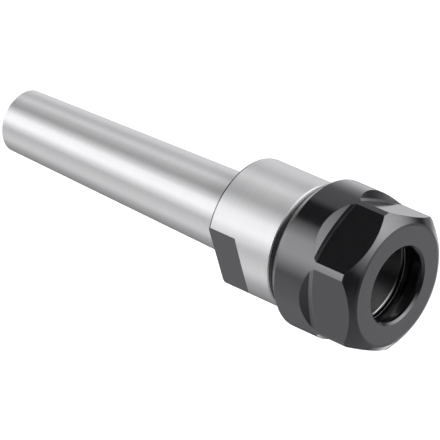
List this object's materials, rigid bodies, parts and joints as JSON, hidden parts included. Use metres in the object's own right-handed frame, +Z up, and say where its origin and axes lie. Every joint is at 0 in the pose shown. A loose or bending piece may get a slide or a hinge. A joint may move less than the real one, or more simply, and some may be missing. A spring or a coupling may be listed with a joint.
{
  "type": "collet chuck holder",
  "caption": "Collet chuck holder: a Morse taper shank and head in one piece, with a hollow threaded nose and a hexagonal clamping nut that turns on it.",
  "frame": {"origin": "on the chuck's axis at the gauge line of the Morse taper, where the shank has its nominal diameter", "axes": "+X along the chuck's axis from the shank to the clamping nut; +Z up in the picture, with the axis level"},
  "size_m": [0.1093, 0.0336, 0.0336],
  "materials": {
    "ground_steel": "cylindrically ground, with black oxide left on the wrench flats, the shoulder and the nose",
    "black_oxide_steel": "satin black oxide"
  },
  "bodies": {
    "holder": {"chuck_body": "ground_steel"},
    "nut": {"clamping_nut": "black_oxide_steel"}
  },
  "joints": [
    {"name": "nut_turn", "type": "hinge", "parent": "holder", "child": "nut", "pos_m": [0.035, 0, 0], "axis": [1, 0, 0], "continuous": true}
  ]
}
